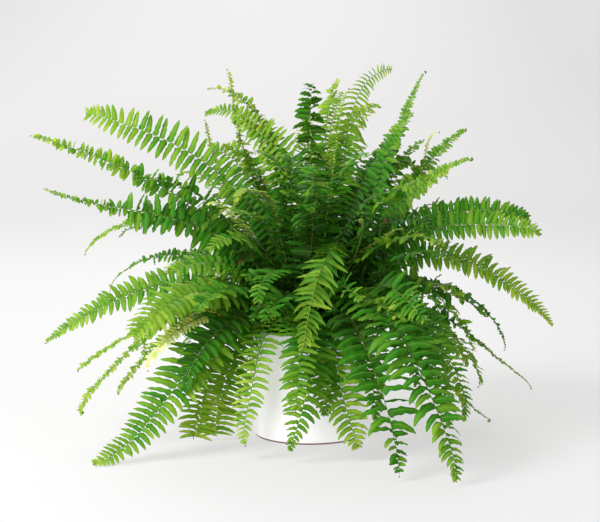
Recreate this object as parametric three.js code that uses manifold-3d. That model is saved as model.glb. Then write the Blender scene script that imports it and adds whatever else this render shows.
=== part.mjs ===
// A potted fern: a glazed pot filled with soil, and arching fronds that grow out of the soil.
// Millimetres, +Z up. The origin is the centre of the pot's flat underside.
import * as THREE from 'three';
import { mergeVertices } from 'three/addons/utils/BufferGeometryUtils.js';
import Module from 'manifold-3d';

const { Vector3 } = THREE;
const radians = THREE.MathUtils.degToRad;
const wasm = await Module();
wasm.setup();

// Pot and soil
const POT_RADIUS = 85;
const POT_HEIGHT = 165;
const POT_SIDES = 48;
const WALL = 6;
const FLOOR = 9;
const FOOT_INSET = 2.5;
const FOOT_HEIGHT = 2.5;
const SOIL_TOP = 150;
const CLEARANCE = 0.3;

// Stems and leaflets
const ROOT_DEPTH = 15;        // length of a stem below the soil's surface
const STEM_WIDTH = [3.2, 1.0];      // at the root and at the tip
const STEM_HEIGHT = [2.8, 0.8];
const BLADE_START = 0.17;     // share of a frond's length that is bare stem
const LEAFLET_TIP = 0.76;     // thickness of a leaflet's tip
const LEAN = 14;              // degrees that a leaflet leans towards the frond's tip
const LEAFLET_PITCH = 0.9;    // pitch of the leaflets as a share of their length
const LEAST_PITCH = 21;
const SINGLE_PAIRS = 11;      // most pairs of leaflets on a frond that stands by itself
const CROWN_PAIRS = 8;        // and on a frond of a crown
const STEM_SPACE = 4.9;       // least distance between the middles of two stems
const ROOT_SPACE = 6.5;       // the same below the surface
const LEAFLET_SPACE = 2.2;    // least distance between the middles of two leaflets
const FLOOR_SPACE = 1.8;      // least height of a leaflet's middle above the floor

// Crowns: short stumps that several stems share
const CROWN_RADIUS = 5.5;
const CROWN_HEIGHT = 6;       // above the soil
const CROWN_SIDES = 6;
const CROWN_REACH = 66;       // furthest that a crown stands from the pot's axis
const SISTER_SPACE = 3.6;     // least distance between the middles of two stems of a crown

// Single fronds. Each row: tip x, y, z; launch angle above the horizontal; slope of the tip;
// launch azimuth, or null for the tip's own; pull of the curve at the root and at the tip, as
// shares of the chord; leaflet length; roll towards -Y; 1 where the end is a thin tail.
const FRONDS = [
  // over the middle and forwards
  [-12, -240, 172, 76, -72, 5, 0.98, 0.48, 36, 0, 0],
  // high on the left
  [-343, 0, 498, 84, 20, null, 0.52, 0.33, 32, 60, 0],
  [-418, -20, 461, 70, 20, null, 0.46, 0.35, 14, 60, 1],
  [-393, -60, 384, 76, 26, null, 0.54, 0.30, 28, 60, 1],
  [-357, 80, 272, 73, -44, null, 0.57, 0.37, 12, 40, 1],
  [-322, 100, 206, 68, -62, null, 0.56, 0.30, 13, 30, 0],
  [-124, 80, 555, 84, 88, null, 0.40, 0.35, 14, 0, 1],
  [-168, 60, 489, 84, -15, null, 0.60, 0.35, 24, 30, 0],
  [-118, 20, 492, 86, 35, 40, 0.66, 0.50, 32, 50, 0],
  [-163, 140, 473, 82, 85, null, 0.40, 0.35, 10, 0, 1],
  [-160, 110, 436, 80, 15, null, 0.58, 0.30, 26, 50, 0],
  // upright
  [3, 0, 535, 88, 88, -90, 0.35, 0.35, 30, 0, 0],
  [125, 40, 561, 82, 12, null, 0.62, 0.22, 27, 30, 0],
  [50, 100, 523, 84, 55, null, 0.40, 0.35, 22, 20, 0],
  [169, 0, 555, 76, 68, null, 0.40, 0.35, 26, 30, 1],
  // right
  [185, 70, 469, 70, 85, null, 0.40, 0.35, 10, 0, 1],
  [241, 80, 466, 72, 38, null, 0.42, 0.35, 20, 30, 0],
  [237, -60, 431, 70, 24, null, 0.45, 0.35, 22, 40, 0],
  [352, 60, 329, 76, -24, null, 0.58, 0.35, 30, 60, 0],
  [345, -60, 324, 74, -4, null, 0.58, 0.35, 30, 50, 0],
  [371, -30, 172, 74, -52, null, 0.64, 0.40, 24, 40, 0],
  [316, 110, 112, 66, -72, null, 0.54, 0.38, 12, 20, 1],
  [352, 60, 62, 55, -34, null, 0.50, 0.35, 12, 20, 1],
  [250, -30, 116, 50, -42, null, 0.50, 0.35, 18, 20, 0],
  [285, 73, 6, 50, -22, null, 0.50, 0.35, 12, 20, 1],
  // hanging in front of the pot
  [199, -325, 7, 60, -78, null, 0.55, 0.45, 38, 0, 0],
  [125, -288, 8, 60, -80, null, 0.55, 0.45, 38, 0, 0],
  [62, -190, 20, 62, -82, null, 0.60, 0.50, 27, 0, 0],
  [-28, -205, 20, 60, -80, -88, 0.62, 0.50, 28, 0, 0],
  [-97, -185, 20, 62, -85, null, 0.60, 0.50, 27, 0, 0],
  [-143, -50, 8, 60, -84, null, 0.62, 0.50, 36, 0, 0],
  // low on the left
  [-310, -223, 7, 60, -6, null, 0.58, 0.44, 46, 20, 0],
  [-352, -100, 54, 56, -48, null, 0.52, 0.38, 14, 20, 1],
  [-293, -60, 75, 58, -55, null, 0.50, 0.38, 14, 20, 1],
  [-353, -40, 106, 54, -33, null, 0.50, 0.38, 12, 20, 1],
  [-406, 0, 142, 56, -36, null, 0.48, 0.38, 26, 40, 0],
  [-253, -180, 183, 60, -45, null, 0.50, 0.38, 40, 20, 0],
  [-242, -120, 121, 56, -62, null, 0.50, 0.38, 24, 20, 0],
  [-205, -70, 262, 66, -25, null, 0.52, 0.38, 34, 30, 0],
];

// Short new fronds, in the same columns
const YOUNG_FRONDS = [
  [-115, -150, 382, 80, -20, null, 0.62, 0.30, 14, 0, 1],
  [134, -110, 334, 76, 30, null, 0.50, 0.35, 12, 0, 1],
];

// Crowns of two or three fronds each. Each row: azimuth and distance of the crown from the
// middle; count of fronds; reach and height of their tips; leaflet length.
const CROWNS = [
  // back and sides, from the lowest fronds to the highest
  [92, 64, 3, 255, 26, 33],
  [62, 63, 3, 345, 95, 28],
  [122, 63, 3, 355, 110, 30],
  [34, 62, 2, 300, 60, 32],
  [150, 62, 2, 290, 70, 32],
  [76, 44, 3, 365, 225, 29],
  [108, 44, 3, 350, 250, 28],
  [44, 42, 3, 310, 340, 28],
  [138, 42, 3, 300, 330, 30],
  [92, 26, 3, 240, 430, 28],
  [60, 24, 2, 170, 500, 26],
  [150, 22, 2, 150, 470, 26],
  // front
  [-62, 26, 3, 175, 405, 26],
  [-118, 27, 3, 170, 390, 28],
  [-28, 60, 3, 275, 215, 30],
  [-92, 62, 2, 215, 215, 30],
  [-148, 60, 2, 235, 165, 30],
];

// The same numbers every time: a plain congruential generator.
function seededRandom(seed) {
  let state = seed;
  return () => {
    state = (state * 16807) % 2147483647;
    return state / 2147483647;
  };
}

function direction(azimuth, elevation) {
  return new Vector3(
    Math.cos(elevation) * Math.cos(azimuth),
    Math.cos(elevation) * Math.sin(azimuth),
    Math.sin(elevation),
  );
}

// A stem's curve: it leaves the root at the launch angle and ends at the tip's slope. The lower
// the launch, the further out the root stands. turn swings the root about the pot's axis, and
// outward moves it away from the axis.
function growthCurve(row, turn, outward, crown) {
  const [x, y, z, launch, slope, azimuth, pullRoot, pullTip] = row;
  const tip = new Vector3(x, y, z);
  const heading = (azimuth === null ? Math.atan2(y, x) : radians(azimuth)) + turn;
  const distance = 8 + (88 - launch) / 38 * 45 + outward;
  const root = crown ?? new Vector3(distance * Math.cos(heading), distance * Math.sin(heading), SOIL_TOP);
  const chord = root.distanceTo(tip);
  const bearing = Math.atan2(y - root.y, x - root.x);
  const first = direction(heading, radians(launch)).multiplyScalar(pullRoot * chord).add(root);
  const second = direction(bearing, radians(slope)).multiplyScalar(-pullTip * chord).add(tip);
  return new THREE.CubicBezierCurve3(root, first, second, tip);
}

// The fronds of one crown, as rows of the single fronds' columns: they fan out round the
// crown's azimuth, and the higher the tips, the steeper the fronds.
function crownRows([azimuth, distance, count, reach, height, leaflet], random) {
  const rows = [];
  for (let i = 0; i < count; i += 1) {
    const fan = (i - (count - 1) / 2) * 26 + (random() - 0.5) * 10;
    const heading = radians(azimuth + fan);
    const length = reach * (0.94 + 0.12 * random());
    const z = Math.max(12, height + [0, 45, -30][i] * (0.7 + 0.6 * random()) + (random() - 0.5) * 20);
    const high = Math.min(z / 540, 1);
    rows.push([
      length * Math.cos(heading), length * Math.sin(heading), z,
      58 + 27 * high, -76 + 98 * high, azimuth + fan * 0.8,
      0.60 - 0.12 * high, 0.42 - 0.08 * high, leaflet * (0.9 + 0.2 * random()),
      (random() - 0.5) * 50, 0,
    ]);
  }
  return rows;
}

// Line or flat triangle that two pieces' distance is measured between
function outline(points) {
  const edges = points.length === 2
    ? [new THREE.Line3(...points)]
    : points.map((point, i) => new THREE.Line3(point, points[(i + 1) % 3]));
  const triangle = points.length === 3 ? new THREE.Triangle(...points) : null;
  const sphere = new THREE.Sphere().setFromPoints(points);
  return { points, edges, triangle, sphere };
}

function edgeCrosses(edge, { a, b, c }) {
  const way = edge.delta(new Vector3());
  const length = way.length();
  const ray = new THREE.Ray(edge.start, way.divideScalar(length));
  const hit = ray.intersectTriangle(a, b, c, false, new Vector3());
  return hit !== null && hit.distanceTo(edge.start) <= length;
}

function closerThan(one, other, limit) {
  if (one.sphere.center.distanceTo(other.sphere.center) > one.sphere.radius + other.sphere.radius + limit) {
    return false;
  }
  const square = limit * limit;
  const near = new Vector3();
  for (const a of one.edges) {
    if (other.edges.some((b) => a.distanceSqToLine3(b) < square)) return true;
  }
  for (const [flat, loose] of [[one, other], [other, one]]) {
    const { triangle } = flat;
    if (triangle === null) continue;
    const nearest = (point) => triangle.closestPointToPoint(point, near).distanceToSquared(point);
    if (loose.points.some((point) => nearest(point) < square)) return true;
    if (loose.edges.some((edge) => edgeCrosses(edge, triangle))) return true;
  }
  return false;
}

// A stem's curve as straight pieces, each an outline
function curvePieces(curve) {
  const points = curve.getSpacedPoints(24);
  return points.slice(1).map((point, i) => outline([points[i], point]));
}

function anyCloser(ones, others, limit) {
  return ones.some((one) => others.some((other) => closerThan(one, other, limit)));
}

// Ways to make room for a stem, the smallest change first: degrees that its root swings, how far
// the root moves outward, and how far the tip moves in y
function placements() {
  const ways = [];
  for (const turn of [0, 4, -4, 8, -8, 12, -12, 16, -16]) {
    for (const outward of [0, 7, 14, 21]) {
      for (const nudge of [0, 12, -12, 24, -24]) {
        const cost = Math.abs(turn) / 4 + outward / 9 + Math.abs(nudge) / 11;
        ways.push({ turn: radians(turn), outward, nudge, cost });
      }
    }
  }
  return ways.sort((one, other) => one.cost - other.cost);
}

// Moves a frond's root and tip a little until its stem is clear of the stems in place.
function placeStem(row, placed) {
  for (const { turn, outward, nudge } of placements()) {
    const moved = [row[0], row[1] + nudge, ...row.slice(2)];
    const curve = growthCurve(moved, turn, outward, null);
    const below = curve.getPoint(0).addScaledVector(curve.getTangent(0), -ROOT_DEPTH);
    const buried = outline([below, curve.getPoint(0)]);
    const pieces = curvePieces(curve);
    const blocked = placed.some((other) => closerThan(buried, other.buried, ROOT_SPACE + other.thicker)
      || anyCloser(pieces, other.pieces, STEM_SPACE));
    if (!blocked) return { row: moved, curve, buried, pieces, thicker: 0 };
  }
  throw new Error(`no room for the frond to ${row.slice(0, 3)}`);
}

// Places a crown where it is clear of the roots and stems in place, and its stems can be too.
function placeCrown(row, random, placed) {
  const rows = crownRows(row, random);
  for (let step = 0; step < 120; step += 1) {
    const swing = Math.floor(step / 6);
    const azimuth = radians(row[0] + 6 * Math.ceil(swing / 2) * (swing % 2 ? 1 : -1));
    const distance = Math.min(row[1] + [0, -7, 7, -14, 14, 21][step % 6], CROWN_REACH);
    const foot = new Vector3(distance * Math.cos(azimuth), distance * Math.sin(azimuth), SOIL_TOP + 1);
    const [bottom, top] = [SOIL_TOP - ROOT_DEPTH, SOIL_TOP + CROWN_HEIGHT];
    const buried = outline([foot.clone().setZ(bottom), foot.clone().setZ(top)]);
    const space = ROOT_SPACE + CROWN_RADIUS - 2;
    if (placed.some((other) => closerThan(buried, other.buried, space + other.thicker)
      || anyCloser([buried], other.pieces, CROWN_RADIUS + 2.5))) continue;
    const across = new Vector3(-Math.sin(azimuth), Math.cos(azimuth), 0);
    const stems = [];
    for (let i = 0; i < rows.length; i += 1) {
      const root = foot.clone().addScaledVector(across, (i - (rows.length - 1) / 2) * SISTER_SPACE);
      const stem = clearStem(rows[i], root, placed, stems);
      if (stem === null) break;
      stems.push(stem);
    }
    if (stems.length === rows.length) return { foot, stems, buried };
  }
  throw new Error(`no room for the crown at ${row}`);
}

// One stem of a crown: its tip swings about the pot's axis, or rises or sinks, until it is clear.
function clearStem(row, root, placed, sisters) {
  for (let step = 0; step < 75; step += 1) {
    const swing = Math.floor(step / 5);
    const turn = radians(2.5) * Math.ceil(swing / 2) * (swing % 2 ? 1 : -1);
    const tip = new Vector3(row[0], row[1], row[2] + [0, 18, -18, 36, -36][step % 5]);
    if (tip.z < 12) continue;
    tip.applyAxisAngle(new Vector3(0, 0, 1), turn);
    const turned = [tip.x, tip.y, tip.z, ...row.slice(3)];
    const curve = growthCurve(turned, turn, 0, root);
    const pieces = curvePieces(curve);
    const free = pieces.slice(1);
    const blocked = placed.some((other) => closerThan(pieces[0], other.buried, STEM_SPACE)
      || anyCloser(pieces, other.pieces, STEM_SPACE))
      || sisters.some((other) => anyCloser(free, other.free, SISTER_SPACE - 0.1));
    if (!blocked) return { row: turned, curve, pieces, free };
  }
  return null;
}

// Share of a frond's full leaflet length at a share t of its blade
function bladeProfile(t, tail) {
  const rise = 0.5 + 0.5 * THREE.MathUtils.smoothstep(t, 0, 0.24);
  if (tail) return rise * (1 - 0.72 * THREE.MathUtils.smoothstep(t, 0.3, 0.7));
  return rise * (1 - 0.86 * Math.max(0, (t - 0.35) / 0.65) ** 1.9);
}

// Cross-sections of a stem: point, forward, side and up, carried along the curve without twist
// and then rolled.
function sections(stem, shares, rootLength) {
  const { row, curve } = stem;
  const start = curve.v1.clone().sub(curve.v0);
  const heading = Math.atan2(start.y, start.x);
  let side = new Vector3(-Math.sin(heading), Math.cos(heading), 0);
  const roll = radians(row[9]) * (Math.cos(heading) >= 0 ? 1 : -1);
  const frames = shares.map((share) => {
    const forward = curve.getTangentAt(share);
    side = side.clone().addScaledVector(forward, -side.dot(forward)).normalize();
    const rolled = side.clone().applyAxisAngle(forward, roll * THREE.MathUtils.smoothstep(share, 0, 0.35));
    const up = forward.clone().cross(rolled);
    return { share, point: curve.getPointAt(share), forward, side: rolled, up };
  });
  if (rootLength > 0) {
    const [low] = frames;
    frames.unshift({ ...low, point: low.point.clone().addScaledVector(low.forward, -rootLength) });
  }
  return frames;
}

// The frond's plan: its sections, and a leaflet to either side between two of them
function planFrond(stem, rootLength, mostPairs, droop) {
  const [leaflet, tail] = [stem.row[8], stem.row[10]];
  const length = stem.curve.getLength();
  const pitch = Math.max(leaflet * LEAFLET_PITCH, LEAST_PITCH);
  const pairs = THREE.MathUtils.clamp(Math.round(length * (1 - BLADE_START) / pitch), 6, mostPairs);
  const shares = [0, BLADE_START / 2];
  for (let i = 0; i <= pairs; i += 1) {
    shares.push(BLADE_START + (1 - BLADE_START) * (1 - (1 - i / pairs) ** 1.2));
  }
  const frames = sections(stem, shares, rootLength);
  const first = frames.length - 1 - pairs;
  const leaflets = [];
  for (let i = 0; i < pairs; i += 1) {
    const [back, front] = [frames[first + i], frames[first + i + 1]];
    const size = leaflet * bladeProfile((i + 0.5) / pairs, tail);
    for (const hand of [1, -1]) {
      leaflets.push({ at: first + i, hand, size, droop, back, front, tip: null });
    }
  }
  return { stem, frames, leaflets };
}

function leafletTip({ back, front, hand, size, droop }, scale, extraDroop) {
  const forward = back.forward.clone().add(front.forward).normalize();
  const side = back.side.clone().add(front.side).normalize().multiplyScalar(hand);
  const up = back.up.clone().add(front.up).normalize();
  const lean = radians(LEAN);
  const fall = radians(droop + extraDroop);
  const tip = back.point.clone().lerp(front.point, 0.55);
  tip.addScaledVector(side, size * scale * Math.cos(lean) * Math.cos(fall));
  tip.addScaledVector(forward, size * scale * Math.sin(lean) * Math.cos(fall));
  tip.addScaledVector(up, -size * scale * Math.sin(fall));
  return { tip, up };
}

// True where a leaflet would come too near the pot or the floor
function touchesPot(points) {
  for (let i = 0; i <= 6; i += 1) {
    for (let j = 0; j <= 6 - i; j += 1) {
      const spot = new Vector3().addScaledVector(points[0], i / 6);
      spot.addScaledVector(points[1], j / 6).addScaledVector(points[2], (6 - i - j) / 6);
      if (spot.z < FLOOR_SPACE) return true;
      const radius = Math.hypot(spot.x, spot.y);
      if (radius < POT_RADIUS + 3 && spot.z < SOIL_TOP + 3) return true;
      if (radius > POT_RADIUS - WALL - 3 && radius < POT_RADIUS + 3 && spot.z < POT_HEIGHT + 3) return true;
    }
  }
  return false;
}

// Gives every leaflet its tip: full length where it is clear of all that is in place, else bent
// or shorter, and none where even the shortest would touch.
function growLeaflets(plans) {
  const stems = plans.flatMap((plan) => plan.stem.pieces.map((piece) => ({ plan, piece })));
  const grown = [];
  for (const plan of plans) {
    for (const leaflet of plan.leaflets) {
      const base = [leaflet.back, leaflet.front].map(({ point, side }) => (
        point.clone().addScaledVector(side, leaflet.hand * STEM_WIDTH[1] / 2)));
      search: for (const scale of [1, 0.8, 0.62, 0.45, 0.3]) {
        for (const bend of [0, 16, -16]) {
          const { tip, up } = leafletTip(leaflet, scale, bend);
          const points = [...base, tip];
          if (touchesPot(points)) continue;
          const shape = outline(points);
          if (stems.some(({ plan: other, piece }) => other !== plan && closerThan(shape, piece, 3))) continue;
          if (grown.some((other) => {
            const own = other.plan === plan;
            if (own && Math.abs(other.leaflet.at - leaflet.at) <= 1) return false;
            return closerThan(shape, other.shape, own ? 1.2 : LEAFLET_SPACE);
          })) continue;
          leaflet.tip = tip;
          leaflet.up = up;
          grown.push({ plan, leaflet, shape });
          break search;
        }
      }
    }
  }
}

function buildMesh(points, triangles) {
  const geometry = new THREE.BufferGeometry();
  geometry.setAttribute('position', new THREE.Float32BufferAttribute(points.flatMap((p) => p.toArray()), 3));
  geometry.setIndex(triangles.flat());
  return geometry;
}

// A frond as one closed sheet: a four-sided stem whose side faces are drawn out into leaflets
function frondGeometry({ frames, leaflets }) {
  const points = [];
  const triangles = [];
  const quad = (a, b, c, d) => triangles.push([a, b, c], [a, c, d]);
  for (const { share, point, side, up } of frames) {
    const wide = THREE.MathUtils.lerp(...STEM_WIDTH, share) / 2;
    const high = THREE.MathUtils.lerp(...STEM_HEIGHT, share) / 2;
    for (const [w, h] of [[wide, high], [-wide, high], [-wide, -high], [wide, -high]]) {
      points.push(point.clone().addScaledVector(side, w).addScaledVector(up, h));
    }
  }
  const corner = (i) => [4 * i, 4 * i + 1, 4 * i + 2, 4 * i + 3];
  const last = corner(frames.length - 1);
  quad(0, 3, 2, 1);
  quad(last[0], last[1], last[2], last[3]);
  for (let i = 0; i + 1 < frames.length; i += 1) {
    const [a, b, c, d] = corner(i);
    const [e, f, g, h] = corner(i + 1);
    quad(a, b, f, e);
    quad(d, h, g, c);
    for (const [hand, topBack, topFront, lowFront, lowBack] of [[1, a, e, h, d], [-1, b, f, g, c]]) {
      const wind = (...ring) => quad(...(hand === 1 ? ring : ring.reverse()));
      const leaflet = leaflets.find((one) => one.at === i && one.hand === hand);
      if (!leaflet?.tip) {
        wind(topBack, topFront, lowFront, lowBack);
        continue;
      }
      const top = points.push(leaflet.tip.clone().addScaledVector(leaflet.up, LEAFLET_TIP / 2)) - 1;
      const low = points.push(leaflet.tip.clone().addScaledVector(leaflet.up, -LEAFLET_TIP / 2)) - 1;
      wind(topBack, top, low, lowBack);
      wind(top, topFront, lowFront, low);
      triangles.push(hand === 1 ? [topBack, topFront, top] : [topFront, topBack, top]);
      triangles.push(hand === 1 ? [lowBack, low, lowFront] : [lowFront, low, lowBack]);
    }
  }
  return buildMesh(points, triangles);
}

// Straight root of a stem, enlarged all round: the hole that it stands in
function stemHole({ frames }) {
  const [deep, surface] = frames;
  const above = surface.point.clone().addScaledVector(surface.forward, 4);
  const points = [];
  for (const point of [deep.point.clone().addScaledVector(deep.forward, -CLEARANCE), above]) {
    const [w, h] = [STEM_WIDTH[0] / 2 + CLEARANCE, STEM_HEIGHT[0] / 2 + CLEARANCE];
    for (const [x, y] of [[w, h], [-w, h], [-w, -h], [w, -h]]) {
      points.push(point.clone().addScaledVector(surface.side, x).addScaledVector(surface.up, y));
    }
  }
  return buildMesh(points, [
    [0, 3, 2], [0, 2, 1], [4, 5, 6], [4, 6, 7],
    [0, 1, 5], [0, 5, 4], [3, 7, 6], [3, 6, 2], [0, 4, 7], [0, 7, 3], [1, 2, 6], [1, 6, 5],
  ]);
}

function crownPrism(foot, spare) {
  const height = ROOT_DEPTH + CROWN_HEIGHT + spare;
  const prism = new THREE.CylinderGeometry(CROWN_RADIUS + spare, CROWN_RADIUS + spare, height, CROWN_SIDES);
  prism.rotateX(Math.PI / 2);
  return prism.translate(foot.x, foot.y, SOIL_TOP + CROWN_HEIGHT - height / 2);
}

function lathe(profile, sides) {
  return new THREE.LatheGeometry(profile.map((p) => new THREE.Vector2(...p)), sides).rotateX(Math.PI / 2);
}

function toManifold(source) {
  const geometry = source.clone();
  geometry.deleteAttribute('normal');
  geometry.deleteAttribute('uv');
  const merged = mergeVertices(geometry, 1e-4);
  return new wasm.Manifold(new wasm.Mesh({
    numProp: 3,
    vertProperties: merged.attributes.position.array,
    triVerts: Uint32Array.from(merged.index.array),
  }));
}

function toGeometry(manifold) {
  const mesh = manifold.getMesh();
  const geometry = new THREE.BufferGeometry();
  geometry.setAttribute('position', new THREE.BufferAttribute(Float32Array.from(mesh.vertProperties), 3));
  geometry.setIndex(new THREE.BufferAttribute(mesh.triVerts, 1));
  return geometry;
}

function addNode(group, name, geometry, color, roughness) {
  const flat = geometry.toNonIndexed();
  flat.computeVertexNormals();
  const mesh = new THREE.Mesh(flat, new THREE.MeshStandardMaterial({ color, roughness, flatShading: true }));
  mesh.name = name;
  group.add(mesh);
}

// Stems first, then leaflets, so that no stem has to give way to a leaflet
const random = seededRandom(4217);
const singles = [];
for (const row of [...FRONDS, ...YOUNG_FRONDS]) singles.push(placeStem(row, singles));
const placed = [...singles];
const crowns = [];
for (const row of CROWNS) {
  const crown = placeCrown(row, random, placed);
  crowns.push(crown);
  const pieces = crown.stems.flatMap((stem) => stem.pieces);
  placed.push({ buried: crown.buried, pieces, thicker: CROWN_RADIUS - 1 });
}
const droop = () => 10 + 14 * random();
const singlePlans = singles.map((stem) => planFrond(stem, ROOT_DEPTH, SINGLE_PAIRS, droop()));
const crownPlans = crowns.map(({ stems }) => stems.map((stem) => planFrond(stem, 0, CROWN_PAIRS, droop())));
growLeaflets([...singlePlans, ...crownPlans.flat()]);

const group = new THREE.Group();
addNode(group, 'pot', lathe([
  [0, 0], [POT_RADIUS - FOOT_INSET, 0], [POT_RADIUS - FOOT_INSET, FOOT_HEIGHT],
  [POT_RADIUS - 0.7, FOOT_HEIGHT + 0.8], [POT_RADIUS, FOOT_HEIGHT + 3],
  [POT_RADIUS, POT_HEIGHT - 2.5], [POT_RADIUS - 1.2, POT_HEIGHT],
  [POT_RADIUS - WALL + 1.2, POT_HEIGHT], [POT_RADIUS - WALL, POT_HEIGHT - 2],
  [POT_RADIUS - WALL, FLOOR + 4], [POT_RADIUS - WALL - 4, FLOOR], [0, FLOOR],
], POT_SIDES), 0xf4f3ef, 0.25);

const soilRadius = POT_RADIUS - WALL - CLEARANCE;
let soil = toManifold(lathe([
  [0, FLOOR + CLEARANCE], [soilRadius - 4.4, FLOOR + CLEARANCE], [soilRadius, FLOOR + 4.7],
  [soilRadius, SOIL_TOP], [0, SOIL_TOP],
], POT_SIDES));
for (const plan of singlePlans) soil = soil.subtract(toManifold(stemHole(plan)));
for (const { foot } of crowns) soil = soil.subtract(toManifold(crownPrism(foot, CLEARANCE)));
addNode(group, 'soil', toGeometry(soil), 0x2e231b, 1);

singlePlans.forEach((plan, i) => {
  const young = i - FRONDS.length;
  const name = young >= 0 ? `young_frond_${young + 1}` : `frond_${String(i + 1).padStart(2, '0')}`;
  addNode(group, name, frondGeometry(plan), young >= 0 ? 0x9cc43a : 0x4f8f2c, 0.6);
});
crownPlans.forEach((plans, i) => {
  let tuft = toManifold(crownPrism(crowns[i].foot, 0));
  for (const plan of plans) tuft = tuft.add(toManifold(frondGeometry(plan)));
  addNode(group, `frond_tuft_${String(i + 1).padStart(2, '0')}`, toGeometry(tuft), 0x3f7d26, 0.6);
});

export default group;
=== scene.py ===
"""A potted fern, dressed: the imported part's fronds, soil and pot get their fine surfaces.

The fern is worked out in millimetres by the same rules as the part's source, so that each fine
frond lies along its solid, and every mesh is scaled to metres when it is made.
"""

import math

import bpy
import numpy as np
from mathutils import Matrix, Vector


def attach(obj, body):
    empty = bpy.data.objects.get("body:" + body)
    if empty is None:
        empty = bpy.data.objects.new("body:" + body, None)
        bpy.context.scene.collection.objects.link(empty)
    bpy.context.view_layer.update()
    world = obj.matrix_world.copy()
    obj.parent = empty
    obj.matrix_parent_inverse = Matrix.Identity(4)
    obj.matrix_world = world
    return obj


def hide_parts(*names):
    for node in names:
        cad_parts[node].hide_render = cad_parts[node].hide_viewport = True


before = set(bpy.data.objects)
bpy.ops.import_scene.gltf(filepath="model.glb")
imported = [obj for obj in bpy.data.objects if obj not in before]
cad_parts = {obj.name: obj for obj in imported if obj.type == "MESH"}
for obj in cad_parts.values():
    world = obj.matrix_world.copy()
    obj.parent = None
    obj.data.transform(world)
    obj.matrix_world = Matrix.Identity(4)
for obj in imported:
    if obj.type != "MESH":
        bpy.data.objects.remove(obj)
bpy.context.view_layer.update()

MM = 0.001
rng = np.random.RandomState(11)

# Pot and soil
POT_RADIUS = 85.0
POT_HEIGHT = 165.0
WALL = 6.0
FLOOR = 9.0
SOIL_TOP = 150.0
POT_SIDES = 128
SOIL_SIDES = 160
SOIL_RINGS = 56
STAGE_SIDES = 96

# Stems and leaflets, as in the part's source
ROOT_DEPTH = 15.0
BLADE_START = 0.17
STEM_SPACE = 4.9
ROOT_SPACE = 6.5
CROWN_RADIUS = 5.5
CROWN_HEIGHT = 6.0
CROWN_REACH = 66.0
SISTER_SPACE = 3.6
LOWEST_TIP = 12
FULL_HEIGHT = 540         # fronds that reach it stand upright
CURVE_STEPS = 200
STEM_PIECES = 24

# Fine leaflets
LEAST_PITCH = 3.4
FULLNESS = 1.12           # leaflets bend over, so each is longer than it looks
BREADTH = 1.05            # and wider
STEM_RADIUS = (1.45, 0.35)
SPINE_STEPS = 200
LIGHT = np.array([-0.18, -0.30, 0.94])     # where the leaflets turn their faces
BUD_RADIUS = 1.1
CROWN_UNREST = 1.2        # how much leaflets differ from their neighbours
EXTRA_UNREST = 1.6
# Heights over the floor: the lowest that is left, and where the easing towards it starts
STEM_REST = (3.2, 8)
LEAFLET_REST = (0.7, 4)


def even(*lengths):
    """Leaflet lengths at the usual places of a stem."""
    return tuple(np.ravel(list(zip((12, 40, 70, 88, 100), lengths))))


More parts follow.
